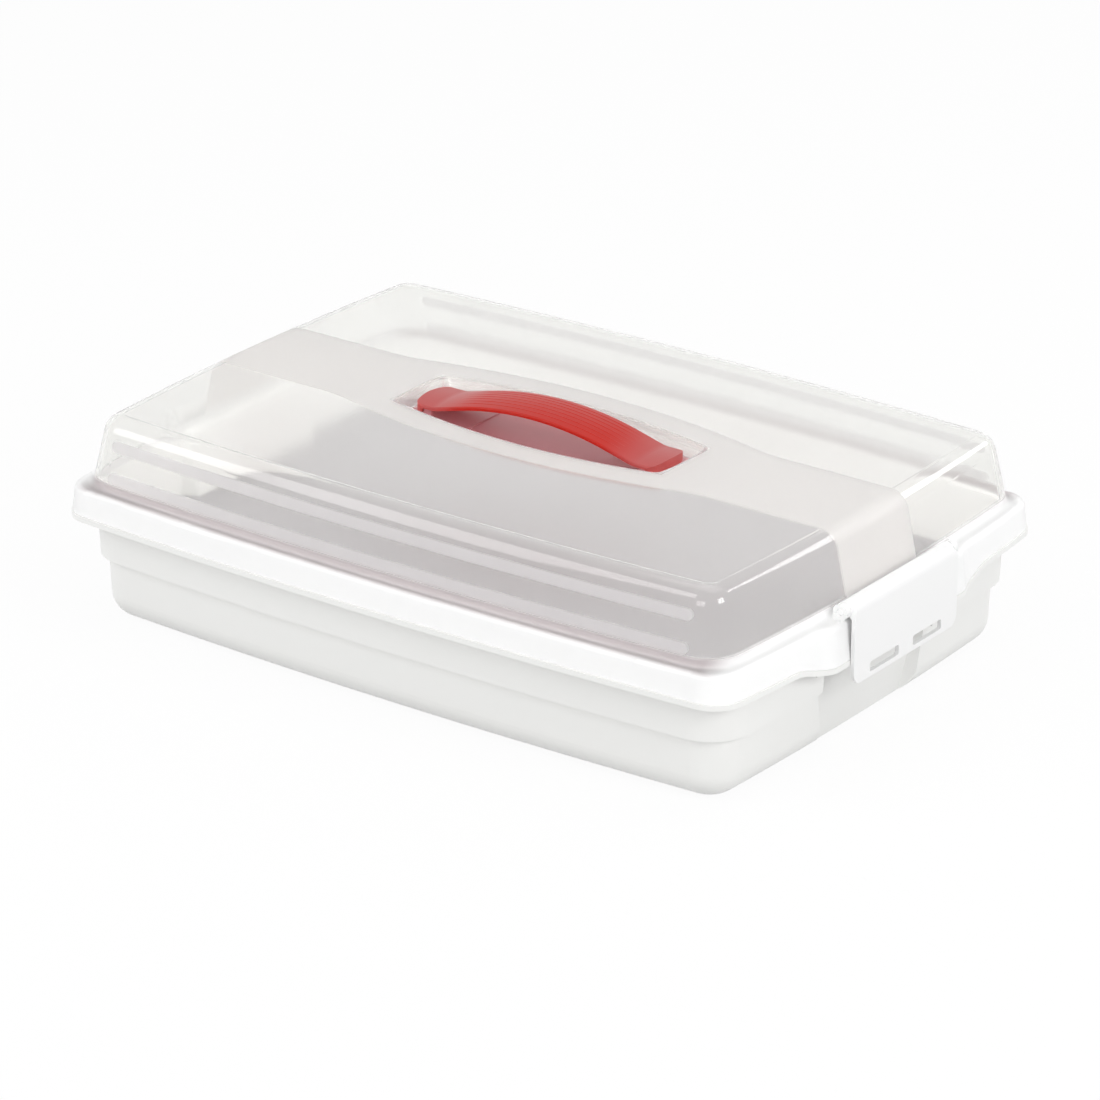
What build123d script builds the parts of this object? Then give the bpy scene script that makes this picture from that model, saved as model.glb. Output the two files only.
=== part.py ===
from build123d import *
import math
import os

# Cake carrier: an open tray, a loose serving insert, a clear lid with a strap handle in
# its recess, and a swinging clip at each short end that hooks under the tray rim.
# Millimetres, Z up, centred on X and Y, standing on Z = 0, long side along X.

# ---- overall ---------------------------------------------------------------------
overall_height = 113.0          # table to the flat top of the lid
rim_height = 74.2               # table to the top of the tray's rim
rim_half_length = 214.5         # centre to the outside of the rim's bead, at mid side
rim_half_width = 150.0
piece_gap = 0.3                 # clearance between pieces that don't rest on each other
trim = 2.0                      # how far a form runs past the cut that trims it
far = 300.0                     # beyond every piece, for cutting forms

# ---- tray ------------------------------------------------------------------------
tray_wall = 2.2
rim_end_reach = 15.1            # from the well's wall out to the bead
rim_side_reach = 15.4
well_end_bow = 3.5              # how far a side bulges past its own corners
well_side_bow = 5.9
well_corner_radius = 19.0
well_draft = 2.2
floor_edge_radius = 14.2
ledge_height = 35.5             # underside of the step that carries the insert
ledge_step = 4.1

# ---- clip sizes that the tray and the lid follow -----------------------------------
clip_half_width = 46.8
barrel_radius = 4.2
ear_gap = 0.4
ear_width = 3.4
pin_radius = 1.7
pin_clearance = 0.1

# ---- tray rim --------------------------------------------------------------------
rim_end_bow = 8.0
rim_side_bow = 6.5
rim_corner_radius = 18.0
rim_wall = 2.0
rim_draft = 6.5
rim_edge_radius = 1.9
rim_depth = 15.7                # top of the rim down to the bead's underside
bead_height = 2.8
bead_proud = 0.7                # how far the bead stands out past the lid's skirt
bead_drop = 6.1                 # the bead runs this much lower behind each clip
land_rise = 1.7                 # the rim swells to a flat land behind each clip
land_margin = 21.2              # from the clip's edge to the edge of the land
land_corner_radius = 12.0
land_blend_radius = 18.0
drop_start = 13.2               # from the clip's edge to where the bead starts to rise
drop_run = 28.0                 # length over which it rises
rib_width = 7.0                 # ribs from the wall to the rim, beside each clip
rib_overhang = 6.9              # how far they reach below the bead

# ---- finger scoop in each end wall -----------------------------------------------
scoop_depth = 9.0
scoop_lean = 6.5                # degrees, the scoop's floor leans out towards the rim
scoop_inset = 0.3               # the scoop is this much narrower than the clip
scoop_narrowing = 8.0           # each side draws in by this much down to the table
scoop_flare = 22.0              # degrees

# ---- insert ----------------------------------------------------------------------
insert_thickness = 3.8
insert_wall = 2.0
insert_clearance = 0.6
insert_chamfer = 0.8

# ---- lid -------------------------------------------------------------------------
lid_wall = 1.8
skirt_wall = 1.5                # lid skirt that hangs outside the tray's rim
lid_end_inset = 9.3             # from the bead in to the lid's wall, at the rim
lid_side_inset = 6.4
lid_end_bow = 5.6
lid_side_bow = 7.2
lid_corner_radius = 21.5
lid_draft = 13.0
lid_top_radius = 10.5
lid_foot_radius = 4.0
flange_edge_radius = 3.2

# ---- handle recess ---------------------------------------------------------------
recess_half_length = 85.0
recess_half_width = 32.3
recess_end_bow = 1.8
recess_side_bow = 10.8
recess_corner_radius = 6.0
recess_depth = 9.2
recess_draft = 12.0
landing_length = 43.5           # the recess floor is raised at both ends
landing_rise = 0.8

# ---- handle ----------------------------------------------------------------------
handle_end_gap = 8.0            # recess end to handle end
handle_half_width = 14.6
handle_end_bow = 2.6
handle_corner_radius = 4.5
handle_sink = 1.7               # flat ends of the strap below the lid's top
handle_edge_thickness = 2.0
handle_crown = 1.3              # extra thickness along the middle of the strap
handle_flat = 14.0              # length of each flat end
handle_slope = 14.5             # degrees
handle_turn_radius = 14.0
handle_arch_radius = 187.0
handle_edge_radius = 0.8
cap_length = 6.4                # downturned rim round each end of the handle
cap_wall = 2.2
cap_height = 2.3
lug_end_inset = 9.0             # lugs of the lid under the handle's ends
lug_side_inset = 2.6
lug_length = 4.8
lug_width = 2.0

# ---- clips -----------------------------------------------------------------------
clip_wall = 2.2
clip_corner_radius = 7.0
clip_shoulder_radius = 5.0
clip_edge_radius = 0.8
clip_lip = 3.0                  # bar under the windows
window_height = 5.4
window_inner = 6.5              # clip's middle to the near side of a window
window_width = 26.0
window_corner_radius = 1.2
hook_reach = 2.9
hook_thickness = 2.0
hook_gap = 0.4                  # between the hooks and the underside of the bead
hook_nose = 0.7
hinge_inset = 4.2               # hinge axis inside the face of the land
hinge_rise = 0.8                # barrel above the lid's flange
pin_length = 2.8

# ---- derived sizes ---------------------------------------------------------------
well_half_length = rim_half_length - rim_end_reach
well_half_width = rim_half_width - rim_side_reach
ledge_top = ledge_height + tray_wall
insert_height = ledge_top + insert_thickness
bead_bottom = rim_height - rim_depth
bead_top = bead_bottom + bead_height
low_bead = bead_bottom - bead_drop
land_half_length = rim_half_length + land_rise
land_half_width = clip_half_width + land_margin
skirt_inset = bead_proud + skirt_wall + piece_gap
flange_top = rim_height + lid_wall
lid_half_length = rim_half_length - lid_end_inset
lid_half_width = rim_half_width - lid_side_inset
recess_floor = overall_height - recess_depth
handle_half_length = recess_half_length - handle_end_gap
handle_end_height = overall_height - handle_sink
handle_underside = handle_end_height - handle_edge_thickness
hinge_x = land_half_length - hinge_inset
hinge_z = flange_top + hinge_rise + barrel_radius


def spread(height, draft):
    return height * math.tan(math.radians(draft))


def bowed_rectangle(half_length, half_width, end_bow, side_bow, corner_radius):
    """Rectangle with four shallow arcs for sides; its half sizes are taken mid side."""
    corner_x = half_length - end_bow
    corner_y = half_width - side_bow
    with BuildSketch() as face:
        with BuildLine():
            ThreePointArc((-corner_x, -corner_y), (0, -half_width), (corner_x, -corner_y))
            ThreePointArc((corner_x, -corner_y), (half_length, 0), (corner_x, corner_y))
            ThreePointArc((corner_x, corner_y), (0, half_width), (-corner_x, corner_y))
            ThreePointArc((-corner_x, corner_y), (-half_length, 0), (-corner_x, -corner_y))
        make_face()
        fillet(face.vertices(), corner_radius)
    return face.sketch


def well_outline(grow):
    return bowed_rectangle(
        well_half_length + grow, well_half_width + grow,
        well_end_bow, well_side_bow, well_corner_radius + grow,
    )


def lid_outline(grow):
    return bowed_rectangle(
        lid_half_length + grow, lid_half_width + grow,
        lid_end_bow, lid_side_bow, lid_corner_radius + grow,
    )


def recess_outline(grow):
    return bowed_rectangle(
        recess_half_length + grow, recess_half_width + grow,
        recess_end_bow, recess_side_bow, recess_corner_radius + grow,
    )


def rim_outline(grow):
    """The rim from above: a bowed rectangle that swells to a land behind each clip."""
    bowed = bowed_rectangle(
        rim_half_length + grow, rim_half_width + grow,
        rim_end_bow, rim_side_bow, rim_corner_radius + grow,
    )
    with BuildSketch() as land:
        Rectangle(2 * (land_half_length + grow), 2 * (land_half_width + grow))
        fillet(land.vertices(), land_corner_radius + grow)
    own_corners = [point.center() for point in bowed.vertices() + land.vertices()]
    with BuildSketch() as face:
        add(bowed)
        add(land.sketch)
        crossings = face.vertices().filter_by(
            lambda point: min((point.center() - corner).length for corner in own_corners) > trim / 10
        )
        fillet(crossings, land_blend_radius - grow)
    return face.sketch


def drafted_form(outline, low, low_grow, high, high_grow):
    """Solid whose walls lean straight from one size of an outline to another."""
    with BuildPart() as form:
        with BuildSketch(Plane.XY.offset(low)):
            add(outline(low_grow))
        with BuildSketch(Plane.XY.offset(high)):
            add(outline(high_grow))
        loft(ruled=True)
    return form.part


def lower_well(grow, floor, top, edge_radius):
    """Lower part of the tray; it is drawn upside down, because its walls close in below."""
    with BuildPart() as form:
        with BuildSketch(Plane.XY.offset(-top)):
            add(well_outline(grow))
        extrude(amount=top - floor, taper=well_draft)
        fillet(form.faces().sort_by(Axis.Z)[-1].edges(), edge_radius)
        mirror(about=Plane.XY, mode=Mode.REPLACE)
    return form.part


def rim_form(grow, top):
    """Solid under the drafted skirt; grow is measured at the level of the bead's top."""
    low = low_bead - trim
    with BuildPart() as form:
        with BuildSketch(Plane.XY.offset(low)):
            add(rim_outline(grow + spread(bead_top - low, rim_draft)))
        extrude(amount=top - low, taper=rim_draft)
    return form.part


def above_bead(lift):
    """Everything over the bead's underside, raised by lift; it dips behind the clips."""
    level = bead_bottom + lift
    dip = level - bead_drop
    inner = clip_half_width + drop_start
    outer = inner + drop_run
    with BuildPart() as region:
        with BuildSketch(Plane.YZ):
            with BuildLine():
                Polyline((outer, level), (far, level), (far, far), (-far, far),
                         (-far, level), (-outer, level))
                Spline((-outer, level), (-inner, dip), tangents=((1, 0), (1, 0)))
                Line((-inner, dip), (inner, dip))
                Spline((inner, dip), (outer, level), tangents=((1, 0), (1, 0)))
            make_face()
        extrude(amount=far, both=True)
    return region.part


def scoops(grow):
    """Finger hollow of both ends, or with grow the wall that lines them."""
    lean = math.radians(scoop_lean)
    floor_plane = Plane(
        origin=(well_half_length - scoop_depth, 0, 0),
        x_dir=(0, 1, 0),
        z_dir=(math.cos(lean), 0, -math.sin(lean)),
    )
    top = (rim_height - tray_wall + grow) / math.cos(lean)
    half_width = clip_half_width - scoop_inset + grow
    foot_half_width = half_width - scoop_narrowing
    with BuildPart() as form:
        with BuildSketch(floor_plane.offset(-grow)):
            with BuildLine():
                Polyline(
                    (-foot_half_width, -ledge_height), (-foot_half_width, 0),
                    (-half_width, ledge_height), (-half_width, top),
                    (half_width, top), (half_width, ledge_height),
                    (foot_half_width, 0), (foot_half_width, -ledge_height),
                    close=True,
                )
            make_face()
        extrude(amount=rim_end_reach + scoop_depth + land_rise, taper=-scoop_flare)
        mirror(about=Plane.YZ)
    return form.part


def insert_form(grow, top):
    """Solid insert on the tray's ledge, notched where the scoops push into the tray."""
    with BuildPart() as form:
        with BuildSketch(Plane.XY.offset(ledge_top)):
            add(well_outline(ledge_step - tray_wall - insert_clearance + grow))
        extrude(amount=top - ledge_top)
        add(scoops(tray_wall + insert_clearance - grow), mode=Mode.SUBTRACT)
    return form.part


def handle_outline(grow):
    """The handle from above: straight sides, bowed ends and rounded corners."""
    tip = handle_half_length + grow
    side = handle_half_width + grow
    shoulder = tip - handle_end_bow
    with BuildSketch() as face:
        with BuildLine():
            Line((-shoulder, -side), (shoulder, -side))
            ThreePointArc((shoulder, -side), (tip, 0), (shoulder, side))
            Line((shoulder, side), (-shoulder, side))
            ThreePointArc((-shoulder, side), (-tip, 0), (-shoulder, -side))
        make_face()
        fillet(face.vertices(), handle_corner_radius + grow)
    return face.sketch


# ---- base tray -------------------------------------------------------------------
with BuildPart() as tray_cavity:
    add(lower_well(-tray_wall, tray_wall, ledge_top, floor_edge_radius - tray_wall))
    add(drafted_form(
        well_outline, ledge_top, ledge_step - tray_wall,
        rim_height, ledge_step - tray_wall + spread(rim_height - ledge_top, well_draft),
    ))
    add(scoops(tray_wall), mode=Mode.SUBTRACT)

with BuildPart() as bead:
    with BuildSketch(Plane.XY.offset(low_bead - trim)):
        add(rim_outline(0))
    extrude(amount=bead_drop + bead_height + trim)
    add(above_bead(bead_height), mode=Mode.SUBTRACT)

with BuildPart() as rim_ring:
    add(rim_form(-skirt_inset, rim_height))
    fillet(rim_ring.faces().sort_by(Axis.Z)[-1].edges(), rim_edge_radius)
    add(bead.part)
    add(above_bead(0), mode=Mode.INTERSECT)
    add(rim_form(-skirt_inset - rim_wall, rim_height - tray_wall), mode=Mode.SUBTRACT)

with BuildPart() as rim_ribs:
    rib_root = well_half_length + ledge_step - tray_wall / 2
    rib_tip = land_half_length - skirt_inset - rim_wall / 2
    rib_top = rim_height - tray_wall / 2
    rib_start = clip_half_width + ear_gap + pin_length
    with BuildSketch(Plane.XZ.offset(-rib_start)):
        with BuildLine():
            Polyline(
                (rib_root, low_bead - rib_overhang),
                (rib_tip + spread(bead_top - low_bead, rim_draft), low_bead + bead_height / 2),
                (rib_tip - spread(rib_top - bead_top, rim_draft), rib_top),
                (rib_root, rib_top),
                close=True,
            )
        make_face()
    extrude(amount=-rib_width)
    mirror(about=Plane.XZ)
    mirror(about=Plane.YZ)

with BuildPart() as base_tray:
    add(lower_well(0, 0, ledge_height, floor_edge_radius))
    add(drafted_form(
        well_outline, ledge_height, ledge_step,
        rim_height, ledge_step + spread(rim_height - ledge_height, well_draft),
    ))
    add(scoops(0), mode=Mode.SUBTRACT)
    add(rim_ring.part)
    add(tray_cavity.part, mode=Mode.SUBTRACT)
    add(rim_ribs.part)
base_tray.part.label = "base_tray"

# ---- insert panel ----------------------------------------------------------------
with BuildPart() as insert_panel:
    add(insert_form(0, insert_height))
    chamfer(insert_panel.faces().sort_by(Axis.Z)[-1].edges(), insert_chamfer)
    add(insert_form(-insert_wall, insert_height - insert_wall), mode=Mode.SUBTRACT)
insert_panel.part.label = "insert_panel"

# ---- lid -------------------------------------------------------------------------
with BuildPart() as recess:
    add(drafted_form(
        recess_outline, recess_floor, -spread(recess_depth, recess_draft), overall_height, 0,
    ))
    with BuildSketch(Plane.XY.offset(recess_floor)):
        with GridLocations(2 * recess_half_length, 0, 2, 1):
            Rectangle(2 * landing_length, far)
    extrude(amount=landing_rise, mode=Mode.SUBTRACT)

with BuildPart() as lid_seat:
    add(rim_form(piece_gap - skirt_inset, rim_height))
    chamfer(lid_seat.faces().sort_by(Axis.Z)[-1].edges(), rim_edge_radius / 2)

with BuildPart() as lid_cavity:
    with BuildSketch(Plane.XY.offset(rim_height)):
        add(lid_outline(-lid_wall))
    extrude(amount=overall_height - lid_wall - rim_height, taper=lid_draft)
    fillet(lid_cavity.faces().sort_by(Axis.Z)[-1].edges(), lid_top_radius - lid_wall)
    add(drafted_form(
        recess_outline, recess_floor - lid_wall,
        lid_wall - spread(recess_depth + lid_wall, recess_draft), overall_height, lid_wall,
    ), mode=Mode.SUBTRACT)

with BuildPart() as skirt:
    add(rim_form(piece_gap + skirt_wall - skirt_inset, flange_top))
    fillet(skirt.faces().sort_by(Axis.Z)[-1].edges(), flange_edge_radius)
    add(above_bead(bead_height + piece_gap), mode=Mode.INTERSECT)

with BuildPart() as lid_ears:
    ear_foot = flange_top - lid_wall / 2
    with BuildSketch(Plane.XZ.offset(-clip_half_width - ear_gap)):
        with Locations((hinge_x, hinge_z)):
            Circle(barrel_radius)
        with Locations((hinge_x - barrel_radius / 2, (hinge_z + ear_foot) / 2)):
            Rectangle(barrel_radius, hinge_z - ear_foot)
        with Locations((hinge_x, hinge_z)):
            Circle(pin_radius + pin_clearance, mode=Mode.SUBTRACT)
    extrude(amount=-ear_width)
    mirror(about=Plane.XZ)
    mirror(about=Plane.YZ)

with BuildPart() as lid:
    with BuildSketch(Plane.XY.offset(rim_height)):
        add(lid_outline(0))
    extrude(amount=overall_height - rim_height, taper=lid_draft)
    fillet(lid.faces().sort_by(Axis.Z)[-1].edges(), lid_top_radius)
    add(skirt.part)
    foot = lid.edges().filter_by(
        lambda edge: abs(edge.center().Z - flange_top) < 0.01
        and abs(edge.center().X) < hinge_x - barrel_radius
        and abs(edge.center().Y) < rim_half_width - flange_edge_radius
    )
    fillet(foot, lid_foot_radius)
    add(lid_seat.part, mode=Mode.SUBTRACT)
    add(lid_cavity.part, mode=Mode.SUBTRACT)
    add(recess.part, mode=Mode.SUBTRACT)
    # Lugs that carry the ends of the handle.
    with BuildSketch(Plane.XY.offset(recess_floor)):
        with GridLocations(2 * (handle_half_length - lug_end_inset),
                           2 * (handle_half_width - lug_side_inset), 2, 2):
            Rectangle(lug_length, lug_width)
    extrude(amount=handle_underside - recess_floor)
    add(lid_ears.part)
lid.part.label = "lid"

# ---- carry handle ----------------------------------------------------------------
with BuildPart() as handle_ends:
    with BuildSketch(Plane.XY.offset(handle_underside - cap_height)):
        add(handle_outline(0))
        add(handle_outline(-cap_wall), mode=Mode.SUBTRACT)
        Rectangle(2 * (handle_half_length - cap_length), far, mode=Mode.SUBTRACT)
    extrude(amount=cap_height)

with BuildPart() as carry_handle:
    strap_end = handle_half_length + handle_end_bow
    bend = handle_half_length - handle_flat
    apex = handle_end_height + spread(bend, handle_slope)
    with BuildLine(Plane.XZ) as arch:
        Polyline(
            (-strap_end, handle_end_height),
            (-bend, handle_end_height),
            (0, apex),
            (bend, handle_end_height),
            (strap_end, handle_end_height),
        )
        bends = arch.vertices().sort_by(Axis.X)
        fillet(bends[2], handle_arch_radius)
        fillet([bends[1], bends[3]], handle_turn_radius)
    # The crowned strap is swept past its ends, and its plan outline then trims it.
    with BuildSketch(Plane.YZ.offset(-strap_end)) as strap:
        with BuildLine():
            ThreePointArc(
                (-handle_half_width, handle_end_height),
                (0, handle_end_height + handle_crown),
                (handle_half_width, handle_end_height),
            )
            Polyline(
                (handle_half_width, handle_end_height),
                (handle_half_width, handle_underside),
                (-handle_half_width, handle_underside),
                (-handle_half_width, handle_end_height),
            )
        make_face()
        fillet(strap.vertices().sort_by(Axis.Y)[-2:], handle_edge_radius)
    sweep(path=arch.wire())
    with BuildSketch(Plane.XY.offset(handle_underside - cap_height)):
        add(handle_outline(0))
    extrude(amount=far, mode=Mode.INTERSECT)
    add(handle_ends.part)
carry_handle.part.label = "carry_handle"

# ---- clips -----------------------------------------------------------------------
with BuildPart() as latch_right:
    plate_inner = land_half_length + piece_gap
    barrel_top = hinge_z + barrel_radius
    hook_top = low_bead - hook_gap
    window_top = hook_top - hook_thickness
    window_bottom = window_top - window_height
    clip_bottom = window_bottom - clip_lip
    # Plate, with the rolled shoulder that reaches back over the barrel.
    with BuildSketch(Plane.XZ) as profile:
        with BuildLine():
            Polyline(
                (plate_inner, clip_bottom),
                (plate_inner + clip_wall, clip_bottom),
                (plate_inner + clip_wall, barrel_top),
                (hinge_x, barrel_top),
                (hinge_x, hinge_z),
                (plate_inner, hinge_z - barrel_radius),
                close=True,
            )
        make_face()
        shoulder = profile.vertices().sort_by(lambda point: point.X + point.Y)[-1]
        fillet(shoulder, clip_shoulder_radius)
        fillet(profile.vertices().sort_by(Axis.Y)[0:2], clip_edge_radius)
    extrude(amount=clip_half_width, both=True)
    with BuildSketch(Plane.YZ.offset(hinge_x)):
        with Locations((0, (clip_bottom + barrel_top) / 2)):
            RectangleRounded(2 * clip_half_width, barrel_top - clip_bottom, clip_corner_radius)
    extrude(amount=far, mode=Mode.INTERSECT)
    # Barrel and its pins.
    with BuildSketch(Plane.XZ):
        with Locations((hinge_x, hinge_z)):
            Circle(barrel_radius)
    extrude(amount=clip_half_width, both=True)
    with BuildSketch(Plane.XZ):
        with Locations((hinge_x, hinge_z)):
            Circle(pin_radius)
    extrude(amount=clip_half_width + pin_length, both=True)
    # Windows, and the hooks over them.
    window_middle = window_inner + window_width / 2
    with BuildSketch(Plane.YZ.offset(plate_inner - hook_reach)):
        with Locations((window_middle, (window_bottom + window_top) / 2),
                       (-window_middle, (window_bottom + window_top) / 2)):
            RectangleRounded(window_width, window_height, window_corner_radius)
    extrude(amount=far, mode=Mode.SUBTRACT)
    for near_side in (window_inner, -window_inner - window_width):
        with BuildSketch(Plane.XZ.offset(-near_side)):
            with BuildLine():
                Polyline(
                    (plate_inner + clip_wall / 2, window_top),
                    (plate_inner + clip_wall / 2, hook_top),
                    (plate_inner - hook_reach, hook_top),
                    (plate_inner - hook_reach, hook_top - hook_nose),
                    (plate_inner - hook_nose, window_top),
                    close=True,
                )
            make_face()
        extrude(amount=-window_width)
latch_right.part.label = "latch_right"

with BuildPart() as latch_left:
    add(mirror(latch_right.part, about=Plane.YZ))
latch_left.part.label = "latch_left"

# ---- pieces ----------------------------------------------------------------------
os.makedirs("parts", exist_ok=True)
for piece in (base_tray, insert_panel, lid, carry_handle, latch_right, latch_left):
    export_step(piece.part, f"parts/{piece.part.label}.step")
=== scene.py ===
# %% [markdown]
# # A cake carrier in clear, white, grey and red polypropylene
# Every rigid piece of the carrier comes from its CAD model: the white tray, the grey
# insert, the clear lid, the red strap handle and the two end clips. This script gives them
# their plastics, adds the fine grip ridges of the handle, and sets up a plain studio.

import bpy
from mathutils import Matrix, Vector


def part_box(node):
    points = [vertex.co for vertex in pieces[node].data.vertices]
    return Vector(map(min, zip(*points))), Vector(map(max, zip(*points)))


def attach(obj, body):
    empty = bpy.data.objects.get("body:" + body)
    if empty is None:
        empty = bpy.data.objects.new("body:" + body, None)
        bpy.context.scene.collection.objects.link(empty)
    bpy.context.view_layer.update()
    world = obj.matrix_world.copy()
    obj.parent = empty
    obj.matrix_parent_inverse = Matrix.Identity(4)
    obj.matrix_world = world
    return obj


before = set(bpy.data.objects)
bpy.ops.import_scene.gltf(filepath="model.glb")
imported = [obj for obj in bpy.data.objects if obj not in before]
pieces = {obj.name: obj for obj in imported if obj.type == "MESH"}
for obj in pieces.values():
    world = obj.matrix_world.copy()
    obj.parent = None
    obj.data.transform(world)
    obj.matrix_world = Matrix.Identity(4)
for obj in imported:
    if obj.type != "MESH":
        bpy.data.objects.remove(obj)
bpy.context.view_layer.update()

MM = 0.001
for name in sorted(pieces):
    low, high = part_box(name)
    print(name, "spans", [round((b - a) / MM, 1) for a, b in zip(low, high)], "mm")

# %% [markdown]
# ## Colours and nodes
# A colour is easiest to judge as an sRGB hex value, but a shader reads linear numbers. One
# function does that change for every material. A second one adds any node with its settings:
# an input that is given another node's socket is linked, and any other input is set.

# %% Two helpers


def linear(hex_colour):
    """An sRGB hex colour as the linear RGBA that a shader socket takes."""
    channels = [int(hex_colour[i:i + 2], 16) / 255 for i in (1, 3, 5)]
    return [c / 12.92 if c <= 0.04045 else ((c + 0.055) / 1.055) ** 2.4 for c in channels] + [1]


def add_node(tree, kind, inputs=(), **settings):
    """Adds a node; inputs are a list in socket order or a dictionary by socket name."""
    node = tree.nodes.new(kind)
    for name, value in settings.items():
        setattr(node, name, value)
    for key, value in inputs.items() if isinstance(inputs, dict) else enumerate(inputs):
        if isinstance(value, bpy.types.NodeSocket):
            tree.links.new(node.inputs[key], value)
        elif value is not None:
            node.inputs[key].default_value = value
    return node


print("mid grey in linear light", [round(c, 3) for c in linear("#808080")])

# %% [markdown]
# ## Camera
# The carrier is seen from its right front corner, from well above and with a long lens, so
# that its long edges hardly converge. The camera's three axes are given as they stand in the
# room: to its right, upwards and backwards.

# %% Camera
camera_right = Vector((0.80792495, 0.5892714, 0.00406049))
camera_up = Vector((-0.23448414, 0.31515444, 0.9196167))
camera_back = Vector((0.54062414, -0.7439334, 0.39279593))
camera_place = Vector((1.497976, -2.059626, 1.130385))
lens = bpy.data.cameras.new("long_lens")
lens.sensor_width = 36
lens.lens = 175.56
camera = bpy.data.objects.new("camera", lens)
camera_turn = Matrix((camera_right, camera_up, camera_back)).transposed()
camera.matrix_world = Matrix.LocRotScale(camera_place, camera_turn, None)
bpy.context.collection.objects.link(camera)
bpy.context.scene.camera = camera
print("camera is", round(camera_place.length, 2), "m from the carrier")

# %% [markdown]
# ## White moulded tray
# The tray is injection moulded from white polypropylene. The steel mould is only lightly
# polished, so the skin is satin: highlights are broad and soft. Polypropylene has an index of
# refraction of 1.49. A very fine, shallow noise in the bump breaks up the reflections as the
# mould's grain does. The true grain is about 0.05 mm, too fine to show, so it is drawn at 0.6 mm.

# %% A moulded polypropylene


def moulded_polypropylene(name, colour, roughness, grain_mm=0.6, grain_depth=0.03):
    """Opaque polypropylene with the fine grain that its mould leaves."""
    material = bpy.data.materials.new(name)
    material.use_nodes = True
    tree = material.node_tree
    tree.nodes.clear()
    place = add_node(tree, "ShaderNodeTexCoord")
    grain = add_node(tree, "ShaderNodeTexNoise", {
        "Vector": place.outputs["Object"], "Scale": 1 / (grain_mm * MM), "Detail": 2.0})
    skin = add_node(tree, "ShaderNodeBump", {
        "Height": grain.outputs["Fac"], "Strength": grain_depth, "Distance": grain_mm * MM})
    plastic = add_node(tree, "ShaderNodeBsdfPrincipled", {
        "Base Color": linear(colour), "Roughness": roughness, "IOR": 1.49,
        "Normal": skin.outputs["Normal"]})
    output = add_node(tree, "ShaderNodeOutputMaterial", {"Surface": plastic.outputs["BSDF"]})
    return material, plastic, place, output


def dress(node_name, material):
    """Gives a piece of the carrier its material in every slot."""
    for slot in pieces[node_name].material_slots:
        slot.material = material
    print(node_name, "is", material.name)


white_tray = moulded_polypropylene("white_moulded_polypropylene", "#f7f7f5", 0.32)[0]
dress("base_tray", white_tray)

# %% [markdown]
# ## Grey insert
# The insert is the plate that the cake stands on. It is moulded from the same plastic with
# grey pigment. Its mould is spark eroded, which gives a matte, slightly coarser skin that
# doesn't stick to icing, and so it has almost no highlight.

# %% Grey insert
grey_insert = moulded_polypropylene(
    "grey_spark_eroded_polypropylene", "#aaa6aa", 0.5, grain_mm=0.8, grain_depth=0.06)[0]
dress("insert_panel", grey_insert)

# %% [markdown]
# ## Red strap handle
# The handle is moulded from a bright red polypropylene that lets a little light in. The strap
# is thin in the middle, where light glows through it, and thick over the capped ends, where
# less light comes through. A ramp along the handle's length paints that change in as colour:
# a painted glow in the middle, and painted shade that makes the caps darker and duller. Some
# light also passes right through, so the strap's shadow in the recess is a soft red and not
# black: for the rays that look for a lamp, the strap is a red transparent sheet.

# %% Red handle
# The red of the middle is a painted glow, and the caps' darker red is painted shade.
strap_red, shaded_cap_red = "#be1d0c", "#bb5250"
painted_glow_half_length, cap_starts = 40.0, 68.0       # mm from the middle of the handle
strap_specular = 0.25
light_through_strap = (0.5, 0.16, 0.15, 1)      # linear RGBA

red_strap, plastic, place, output = moulded_polypropylene(
    "red_moulded_polypropylene", strap_red, 0.3)
tree = red_strap.node_tree
where = add_node(tree, "ShaderNodeSeparateXYZ", [place.outputs["Object"]])
from_middle = add_node(tree, "ShaderNodeMath", [where.outputs["X"]], operation="ABSOLUTE")
towards_cap = add_node(tree, "ShaderNodeMapRange", [
    from_middle.outputs["Value"], painted_glow_half_length * MM, cap_starts * MM],
    interpolation_type="SMOOTHSTEP")
red = add_node(tree, "ShaderNodeMixRGB", {
    "Fac": towards_cap.outputs["Result"], "Color1": linear(strap_red),
    "Color2": linear(shaded_cap_red)})
tree.links.new(plastic.inputs["Base Color"], red.outputs["Color"])
plastic.inputs["Specular IOR Level"].default_value = strap_specular
red_light = add_node(tree, "ShaderNodeBsdfTransparent", {"Color": light_through_strap})
ray = add_node(tree, "ShaderNodeLightPath")
strap_shader = add_node(tree, "ShaderNodeMixShader", [
    ray.outputs["Is Shadow Ray"], plastic.outputs["BSDF"], red_light.outputs["BSDF"]])
tree.links.new(output.inputs["Surface"], strap_shader.outputs["Shader"])
dress("carry_handle", red_strap)

# %% [markdown]
# ## Natural end clips
# The clips have to flex, so they are moulded in natural polypropylene, with no pigment. In a
# wall of 2 mm it is milky white, and a part of the light goes through it. A small share of
# rough transmission gives that soft, waxy depth.

# %% Clips
light_through_clip = 0.06
milky_clip, plastic = moulded_polypropylene("natural_moulded_polypropylene", "#ffffff", 0.34)[:2]
plastic.inputs["Transmission Weight"].default_value = light_through_clip
for name in ("latch_left", "latch_right"):
    dress(name, milky_clip)

# %% [markdown]
# ## Clear lid
# The lid is clear polypropylene, which is never as clear as glass: it keeps a slight haze. Its
# mould is polished, except where it is blasted to leave a matte skin. There are three matte
# patterns on the lid:
# - a band that runs along the middle of the top and down both end walls, past the handle;
# - two stripes with round ends on each long wall;
# - the foot of the walls with the flange, and the skirt round it, which is the whitest part.
#
# Painting those by hand would need a UV map. It is simpler to work them out from the place of
# each point in millimetres, because their outlines are simple: a distance from each pattern's
# edge, positive inside, is turned into a soft mask.

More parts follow.
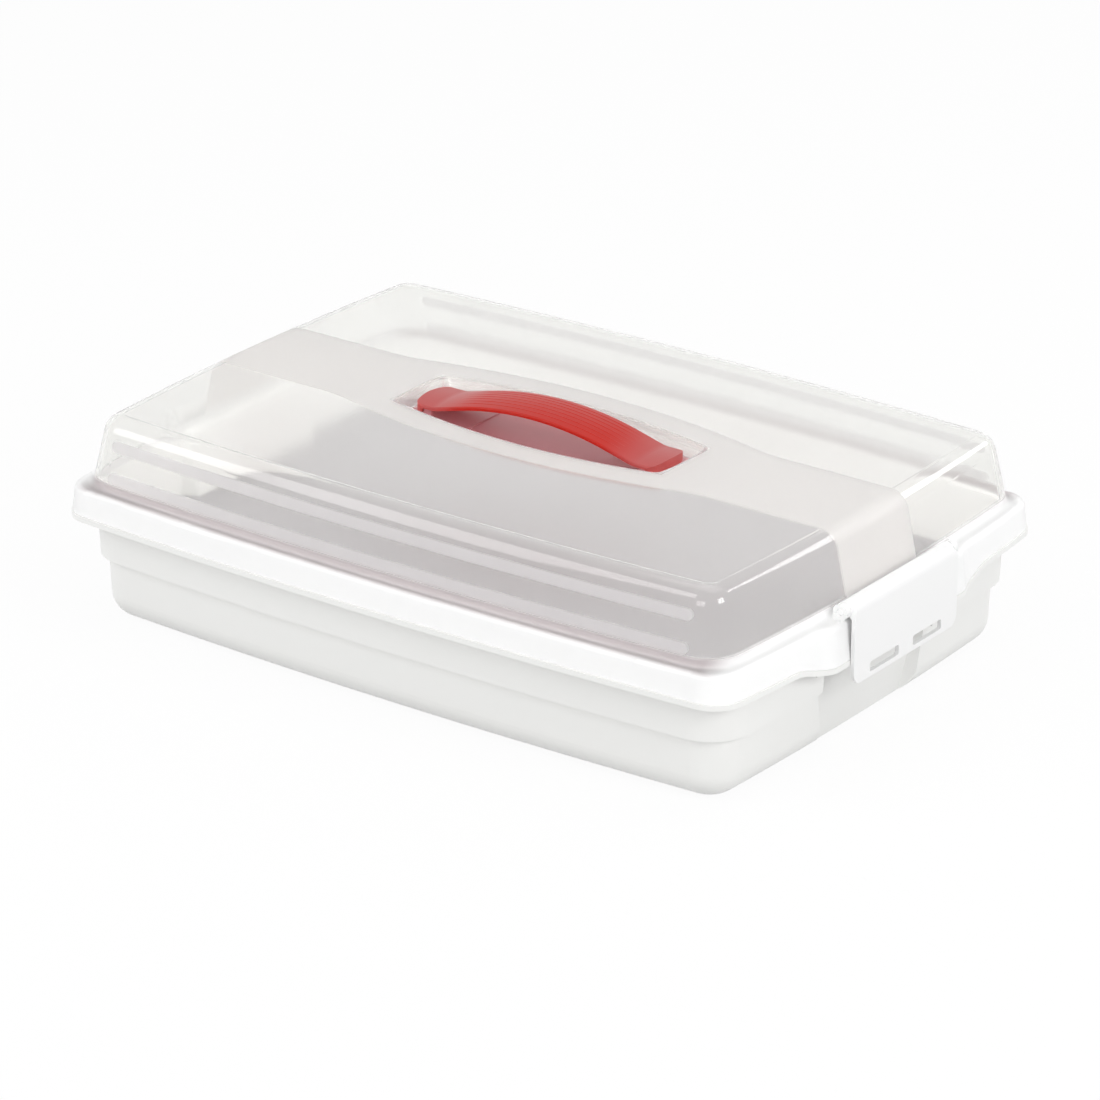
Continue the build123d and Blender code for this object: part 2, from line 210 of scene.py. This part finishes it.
# %% Place of a point on the lid, in millimetres
clear_lid = bpy.data.materials.new("clear_moulded_polypropylene")
clear_lid.use_nodes = True
tree = clear_lid.node_tree
tree.nodes.clear()
place = add_node(tree, "ShaderNodeTexCoord")
in_mm = add_node(tree, "ShaderNodeVectorMath", {
    0: place.outputs["Object"], "Scale": 1 / MM}, operation="SCALE")
apart = add_node(tree, "ShaderNodeSeparateXYZ", [in_mm.outputs["Vector"]])
along = add_node(tree, "ShaderNodeMath", [apart.outputs["X"]], operation="ABSOLUTE").outputs[0]
across = add_node(tree, "ShaderNodeMath", [apart.outputs["Y"]], operation="ABSOLUTE").outputs[0]
height = apart.outputs["Z"]

# %% [markdown]
# The band is widest beside the handle and narrows in a shallow curve to a constant width. A
# smooth maximum joins the curve to the straight part. The handle's recess is left out: its
# walls are polished, and its floor is satin with a light haze of its own.

# %% Matte band along the top
band_half_width, band_bulge, band_curve = 31.8, 47.8, 0.00125    # mm, mm, 1/mm
band_blend = 4.0                                # mm over which curve and straight part join
recess_half_length, recess_half_width, recess_bow = 85.0, 32.3, 10.8    # mm
recess_lip = 0.6                                # mm that stay polished round the recess
flange_height = 74.5                            # mm above the table

along_squared = add_node(tree, "ShaderNodeMath", [along, along], operation="MULTIPLY").outputs[0]
bulge = add_node(tree, "ShaderNodeMath", [
    along_squared, -band_curve, band_bulge], operation="MULTIPLY_ADD").outputs[0]
band_edge = add_node(tree, "ShaderNodeMath", [
    bulge, band_half_width, band_blend], operation="SMOOTH_MAX").outputs[0]
inside_band = add_node(tree, "ShaderNodeMath", [band_edge, across], operation="SUBTRACT").outputs[0]

recess_edge = add_node(tree, "ShaderNodeMath", [
    along_squared, -recess_bow / recess_half_length ** 2, recess_half_width + recess_lip],
    operation="MULTIPLY_ADD").outputs[0]
inside_sides = add_node(tree, "ShaderNodeMath", [recess_edge, across], operation="SUBTRACT").outputs[0]
inside_ends = add_node(tree, "ShaderNodeMath", [
    recess_half_length + recess_lip, along], operation="SUBTRACT").outputs[0]
inside_recess = add_node(tree, "ShaderNodeMath", [
    inside_sides, inside_ends], operation="MINIMUM").outputs[0]
out_of_recess = add_node(tree, "ShaderNodeMath", [inside_recess, -1.0], operation="MULTIPLY").outputs[0]
over_flange = add_node(tree, "ShaderNodeMath", [height, flange_height], operation="SUBTRACT").outputs[0]
band_depth = inside_band
for limit in (out_of_recess, over_flange):
    band_depth = add_node(tree, "ShaderNodeMath", [band_depth, limit], operation="MINIMUM").outputs[0]
print("band is", 2 * band_bulge, "mm wide at the handle and", 2 * band_half_width, "mm at the ends")

# %% [markdown]
# Each stripe is a capsule: every point within half its height from a straight line. Folding
# the height about the level between the two stripes gives both of them from one formula.

# %% Matte stripes on the long walls
stripe_half_length, stripe_half_height = 181.0, 3.0    # mm
lower_stripe, upper_stripe = 83.2, 99.5         # mm above the table
wall_starts = 100.0                             # mm from the middle, to keep to the long walls

level_between = (lower_stripe + upper_stripe) / 2
past_end = add_node(tree, "ShaderNodeMath", [
    along, stripe_half_length - stripe_half_height], operation="SUBTRACT").outputs[0]
past_end = add_node(tree, "ShaderNodeMath", [past_end, 0.0], operation="MAXIMUM").outputs[0]
folded = add_node(tree, "ShaderNodeMath", [height, level_between], operation="SUBTRACT").outputs[0]
folded = add_node(tree, "ShaderNodeMath", [folded], operation="ABSOLUTE").outputs[0]
rise = add_node(tree, "ShaderNodeMath", [
    folded, upper_stripe - level_between], operation="SUBTRACT").outputs[0]
offset = add_node(tree, "ShaderNodeCombineXYZ", [past_end, rise])
from_line = add_node(tree, "ShaderNodeVectorMath", [
    offset.outputs[0]], operation="LENGTH").outputs["Value"]
inside_stripe = add_node(tree, "ShaderNodeMath", [
    stripe_half_height, from_line], operation="SUBTRACT").outputs[0]
on_long_wall = add_node(tree, "ShaderNodeMath", [across, wall_starts], operation="SUBTRACT").outputs[0]
stripe_depth = add_node(tree, "ShaderNodeMath", [
    inside_stripe, on_long_wall], operation="MINIMUM").outputs[0]
print("stripes at", lower_stripe, "and", upper_stripe, "mm")

# %% [markdown]
# Each finish gets a mask, which is 1 inside it and 0 outside. Every edge is soft over half a
# millimetre, as a blasted edge is. The foot of the walls fades in above the flange. At the
# lid's ends the ledge there and the ears that hold the clips are as milky as the skirt, so
# both are added to the skirt's mask.

# %% Masks of the lid's finishes
edge_mm, flange_blend_mm = 0.5, 1.5             # mm over which a finish fades in
foot_starts, foot_full = 81.0, 79.0             # mm above the table
end_ledge_starts, end_ledge_full, ears_start = 190.0, 200.0, 205.5    # mm from the middle
floor_starts, floor_full = 2.5, 5.0             # mm inside the recess's edge

mask = {}
for finish, value, empty, full in (
        ("band", band_depth, 0.0, edge_mm), ("stripe", stripe_depth, 0.0, edge_mm),
        ("skirt", over_flange, flange_blend_mm, 0.0), ("foot", height, foot_starts, foot_full),
        ("ears", along, ears_start, ears_start + edge_mm), ("recess", inside_recess, 0.0, edge_mm),
        ("recess_floor", inside_recess, floor_starts, floor_full)):
    mask[finish] = add_node(tree, "ShaderNodeMapRange", [value, empty, full]).outputs["Result"]
mask["end_ledge"] = add_node(tree, "ShaderNodeMapRange", {
    "Value": along, "From Min": end_ledge_starts, "From Max": end_ledge_full,
    "To Max": mask["foot"]}).outputs["Result"]
for milky in ("end_ledge", "ears"):
    mask["skirt"] = add_node(tree, "ShaderNodeMath", [
        mask["skirt"], mask[milky]], operation="MAXIMUM").outputs[0]
print("masks:", sorted(mask))

# %% [markdown]
# The masks now set how much light goes straight through one wall. In Principled, what isn't
# transmitted is scattered back by the body, and that share is the haze. A blasted skin is rough
# as well, so what shines through it is blurred. The foot is less clear than the walls over it,
# because one looks there through two thick layers.

# %% Light through the wall, and roughness
clear_share = 0.92
share_through = (("band", 0.55), ("stripe", 0.74), ("recess", 0.8), ("recess_floor", 0.45),
                 ("foot", 0.5), ("skirt", 0.25))
polish, satin_floor, blasted = 0.08, 0.35, 0.5

through = clear_share
for finish, share in share_through:
    through = add_node(tree, "ShaderNodeMapRange", {
        "Value": mask[finish], "To Min": through, "To Max": share}).outputs["Result"]
matte = mask["band"]
for finish in ("stripe", "foot"):
    matte = add_node(tree, "ShaderNodeMath", [matte, mask[finish]], operation="MAXIMUM").outputs[0]
rough = polish
for where_rough, roughness in ((matte, blasted), (mask["recess_floor"], satin_floor)):
    rough = add_node(tree, "ShaderNodeMapRange", {
        "Value": where_rough, "To Min": rough, "To Max": roughness}).outputs["Result"]
print("light through one wall: clear", clear_share, share_through)

# %% [markdown]
# The haze has a colour too. It is a clean white where the plastic is clear and on the skirt,
# and a shade greyer on the blasted band and the stripes. On the foot it is a pinkish grey,
# which is painted shade and a painted reflection of the parts behind the foot. On the recess
# floor it is a dull pink, a painted reflection of the red strap above it.

# %% Colour of the haze
body = linear("#fafaf8")
# The foot's colour is painted shade and reflection; the recess floor's pink is a painted reflection of
# the strap.
for finish, colour in (("band", "#f0eeec"), ("stripe", "#efeded"), ("recess_floor", "#d89aa0"),
                       ("foot", "#d2cacb"), ("skirt", "#fdfdfd")):
    body = add_node(tree, "ShaderNodeMixRGB", {
        "Fac": mask[finish], "Color1": body, "Color2": linear(colour)}).outputs["Color"]
    print(finish, "haze is", colour)

# %% [markdown]
# A moulded wall is never quite flat. Shallow waves some 25 mm long make the reflections and
# the grey seen through the lid waver a little. For the rays that look for a lamp the lid is
# replaced by a plain transparent sheet, or the cake space would be dark, because such a ray
# can't bend through a solid wall.

# %% Clear plastic
wave_mm, wave_depth_mm, wave_strength = 25.0, 0.05, 0.3
lamp_light_through = (0.93, 0.93, 0.93, 1)      # linear RGBA

waves = add_node(tree, "ShaderNodeTexNoise", {
    "Vector": place.outputs["Object"], "Scale": 1 / (wave_mm * MM), "Detail": 1.0})
wavy = add_node(tree, "ShaderNodeBump", {
    "Height": waves.outputs["Fac"], "Strength": wave_strength, "Distance": wave_depth_mm * MM})
plastic = add_node(tree, "ShaderNodeBsdfPrincipled", {
    "Base Color": body, "Roughness": rough, "IOR": 1.49,
    "Transmission Weight": through, "Normal": wavy.outputs["Normal"]})
sheet = add_node(tree, "ShaderNodeBsdfTransparent", {"Color": lamp_light_through})
ray = add_node(tree, "ShaderNodeLightPath")
lid_shader = add_node(tree, "ShaderNodeMixShader", [
    ray.outputs["Is Shadow Ray"], plastic.outputs["BSDF"], sheet.outputs["BSDF"]])
add_node(tree, "ShaderNodeOutputMaterial", {"Surface": lid_shader.outputs["Shader"]})
dress("lid", clear_lid)
print("lid's waves are", wave_mm, "mm long and", wave_depth_mm, "mm deep")

# %% [markdown]
# ## Grip ridges on the handle
# Fine ridges run along the strap, so that it doesn't slip in a wet hand. They all follow the
# same arch, side by side, so Geometry Nodes make them: a row of points across the strap
# carries one straight line each, a ray straight down drops every point of a line onto the
# strap, and a round wire is drawn along what results. Only its top stands out of the strap.
# Each ridge sinks into the strap at both ends. The tree ends in one plain mesh.

# %% The ridges' node tree
ridge_tree = bpy.data.node_groups.new("grip_ridges", "GeometryNodeTree")
ridge_inputs = (
    ("Strap", "NodeSocketObject"), ("Ridges", "NodeSocketInt"), ("Spacing", "NodeSocketFloat"),
    ("Length", "NodeSocketFloat"), ("Wire Radius", "NodeSocketFloat"), ("Proud", "NodeSocketFloat"),
    ("Finish", "NodeSocketMaterial"))
socket_of = {}
for name, kind in ridge_inputs:
    socket_of[name] = ridge_tree.interface.new_socket(name, in_out="INPUT", socket_type=kind).identifier
ridge_tree.interface.new_socket("Ridges", in_out="OUTPUT", socket_type="NodeSocketGeometry")
given = add_node(ridge_tree, "NodeGroupInput").outputs
sky_height = 0.3                                # metres; the rays start from up here
points_per_line = 64

last = add_node(ridge_tree, "ShaderNodeMath", [given["Ridges"], 1.0], operation="SUBTRACT").outputs[0]
row_width = add_node(ridge_tree, "ShaderNodeMath", [
    last, given["Spacing"]], operation="MULTIPLY").outputs[0]
row_start = add_node(ridge_tree, "ShaderNodeMath", [row_width, -0.5], operation="MULTIPLY").outputs[0]
half_length = add_node(ridge_tree, "ShaderNodeMath", [
    given["Length"], 0.5], operation="MULTIPLY").outputs[0]
minus_half = add_node(ridge_tree, "ShaderNodeMath", [half_length, -1.0], operation="MULTIPLY").outputs[0]
first_point = add_node(ridge_tree, "ShaderNodeCombineXYZ", [0.0, row_start, sky_height])
next_point = add_node(ridge_tree, "ShaderNodeCombineXYZ", [0.0, given["Spacing"], 0.0])
line_start = add_node(ridge_tree, "ShaderNodeCombineXYZ", [minus_half])
line_end = add_node(ridge_tree, "ShaderNodeCombineXYZ", [half_length])

row = add_node(ridge_tree, "GeometryNodeMeshLine", {
    "Count": given["Ridges"], "Start Location": first_point.outputs[0],
    "Offset": next_point.outputs[0]})
line = add_node(ridge_tree, "GeometryNodeCurvePrimitiveLine", {
    "Start": line_start.outputs[0], "End": line_end.outputs[0]})
line = add_node(ridge_tree, "GeometryNodeResampleCurve", {
    "Curve": line.outputs[0], "Count": points_per_line})
lines = add_node(ridge_tree, "GeometryNodeInstanceOnPoints", {
    "Points": row.outputs[0], "Instance": line.outputs[0]})
lines = add_node(ridge_tree, "GeometryNodeRealizeInstances", [lines.outputs[0]])
print("ridge tree takes", [name for name, kind in ridge_inputs])

# %% Dropping the lines onto the strap
rising_share = 0.15                             # of the length, at each end of a ridge
wire_sides = 10

strap = add_node(ridge_tree, "GeometryNodeObjectInfo", {"Object": given["Strap"]})
drop = add_node(ridge_tree, "GeometryNodeRaycast", {
    "Target Geometry": strap.outputs["Geometry"], "Ray Direction": (0, 0, -1),
    "Ray Length": sky_height})
share_along = add_node(ridge_tree, "GeometryNodeSplineParameter").outputs["Factor"]
end_share = add_node(ridge_tree, "ShaderNodeMath", [share_along, 0.5], operation="PINGPONG").outputs[0]
stands_out = add_node(ridge_tree, "ShaderNodeMapRange", {
    "Value": end_share, "From Max": rising_share, "To Max": given["Proud"]}).outputs["Result"]
sunk = add_node(ridge_tree, "ShaderNodeMath", [
    stands_out, given["Wire Radius"]], operation="SUBTRACT").outputs[0]
step = add_node(ridge_tree, "ShaderNodeVectorMath", {
    0: drop.outputs["Hit Normal"], "Scale": sunk}, operation="SCALE").outputs["Vector"]
seat = add_node(ridge_tree, "ShaderNodeVectorMath", [
    drop.outputs["Hit Position"], step], operation="ADD").outputs["Vector"]
laid = add_node(ridge_tree, "GeometryNodeSetPosition", {"Geometry": lines.outputs[0], "Position": seat})
wire = add_node(ridge_tree, "GeometryNodeCurvePrimitiveCircle", {
    "Resolution": wire_sides, "Radius": given["Wire Radius"]})
ridges = add_node(ridge_tree, "GeometryNodeCurveToMesh", {
    "Curve": laid.outputs[0], "Profile Curve": wire.outputs[0], "Fill Caps": True})
ridges = add_node(ridge_tree, "GeometryNodeRealizeInstances", [ridges.outputs[0]])
ridges = add_node(ridge_tree, "GeometryNodeSetMaterial", {
    "Geometry": ridges.outputs[0], "Material": given["Finish"]})
add_node(ridge_tree, "NodeGroupOutput", [ridges.outputs[0]])
print("nodes in the ridge tree:", len(ridge_tree.nodes))

# %% The ridges as one mesh
maker = bpy.data.objects.new("ridge_maker", bpy.data.meshes.new("ridge_maker"))
bpy.context.collection.objects.link(maker)
nodes_modifier = maker.modifiers.new("grip_ridges", "NODES")
nodes_modifier.node_group = ridge_tree
ridge_sizes = {
    "Strap": pieces["carry_handle"], "Ridges": 7, "Spacing": 3.4 * MM, "Length": 112 * MM,
    "Wire Radius": 0.6 * MM, "Proud": 0.2 * MM, "Finish": red_strap}
for name, value in ridge_sizes.items():
    nodes_modifier[socket_of[name]] = value
made = maker.evaluated_get(bpy.context.evaluated_depsgraph_get())
ridge_mesh = bpy.data.meshes.new_from_object(made)
maker.modifiers.remove(nodes_modifier)
bpy.data.objects.remove(maker)
handle_ridges = bpy.data.objects.new("handle_ridges", ridge_mesh)
bpy.context.collection.objects.link(handle_ridges)
for side in ridge_mesh.polygons:
    side.use_smooth = True
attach(handle_ridges, "lid")
print("ridges:", len(ridge_mesh.polygons), "faces")

# %% [markdown]
# ## Floor
# The carrier stands on white paper. Two mattes share that job. The one that throws light back
# up on the carrier is a light grey, which keeps the undersides from washing out. Where the
# camera, a reflection or a look through the lid sees the paper directly, it is a bright white
# with a glow on top, so that the background stays clean while a faint shadow remains. The glow
# doesn't light the carrier.

# %% What is seen directly


def seen_directly(tree):
    """1 for a ray from the camera, a reflection or a look through clear plastic, or else 0."""
    ray = add_node(tree, "ShaderNodeLightPath").outputs
    seen = ray["Is Camera Ray"]
    for kind in ("Is Glossy Ray", "Is Transmission Ray"):
        seen = add_node(tree, "ShaderNodeMath", [seen, ray[kind]], operation="MAXIMUM").outputs[0]
    return seen


print("the paper and the room share one test for such rays")

# %% White paper
half_floor = 6.0                                # metres
glow_share = 0.93                               # of what is seen directly
white = (1, 1, 1, 1)
floor_mesh = bpy.data.meshes.new("paper_floor")
corners = [(x * half_floor, y * half_floor, 0) for x, y in ((-1, -1), (1, -1), (1, 1), (-1, 1))]
floor_mesh.from_pydata(corners, [], [(0, 1, 2, 3)])
floor = bpy.data.objects.new("paper_floor", floor_mesh)
bpy.context.collection.objects.link(floor)

paper = bpy.data.materials.new("matte_white_paper")
paper.use_nodes = True
tree = paper.node_tree
tree.nodes.clear()
seen = seen_directly(tree)
matte_paper = add_node(tree, "ShaderNodeBsdfDiffuse", {"Color": linear("#cccccc")})
glow = add_node(tree, "ShaderNodeEmission", {"Color": white, "Strength": 1.0})
bright_paper = add_node(tree, "ShaderNodeBsdfDiffuse", {"Color": linear("#fafafa")})
clean = add_node(tree, "ShaderNodeMixShader", [
    glow_share, bright_paper.outputs[0], glow.outputs[0]])
surface = add_node(tree, "ShaderNodeMixShader", [seen, matte_paper.outputs[0], clean.outputs[0]])
add_node(tree, "ShaderNodeOutputMaterial", {"Surface": surface.outputs[0]})
floor_mesh.materials.append(paper)
print("floor is", 2 * half_floor, "m square")

# %% [markdown]
# ## Studio light
# The room is an even white. It lights the carrier at half strength, and looks white wherever it
# is seen directly. Softboxes add the rest: a large one overhead, a key from the front left that
# draws the bright line along the lid's front edge, a low fill in front for the long wall, and
# two smaller ones that give the end walls and the back edge their highlights.

# %% Room
room_light = 0.5
room = bpy.data.worlds.new("white_room")
bpy.context.scene.world = room
room.use_nodes = True
tree = room.node_tree
tree.nodes.clear()
seen = seen_directly(tree)
lighting = add_node(tree, "ShaderNodeBackground", {"Color": white, "Strength": room_light})
backdrop = add_node(tree, "ShaderNodeBackground", {"Color": white, "Strength": 1.0})
both = add_node(tree, "ShaderNodeMixShader", [seen, lighting.outputs[0], backdrop.outputs[0]])
add_node(tree, "ShaderNodeOutputWorld", {"Surface": both.outputs[0]})
print("room light", room_light)

# %% Softboxes


def softbox(name, place, width, depth, watts):
    """A rectangular lamp that faces the carrier."""
    lamp = bpy.data.lights.new(name, "AREA")
    lamp.shape = "RECTANGLE"
    lamp.size = width
    lamp.size_y = depth
    lamp.energy = watts
    holder = bpy.data.objects.new(name, lamp)
    holder.location = place
    holder.rotation_euler = (-Vector(place)).to_track_quat("-Z", "Y").to_euler()
    bpy.context.collection.objects.link(holder)
    print(name, watts, "W")


# Each lamp's place, width and depth are in metres, and its power is in watts.
softbox("overhead_softbox", (0.0, 0.4, 1.7), 1.6, 1.2, 4)
softbox("front_left_softbox", (-1.13, -1.39, 1.09), 1.0, 1.5, 12)
softbox("front_fill", (0.3, -2.0, 0.7), 1.2, 0.8, 7.5)
softbox("right_softbox", (1.8, -0.2, 0.9), 0.8, 0.8, 13)
softbox("back_right_softbox", (0.8, 1.5, 1.1), 0.8, 0.5, 5)

# %% [markdown]
# ## View transform
# The picture is shown through the Standard view transform. The finished model must stay
# inside the CAD model's box.

# %% Finish
bpy.context.scene.view_settings.view_transform = "Standard"
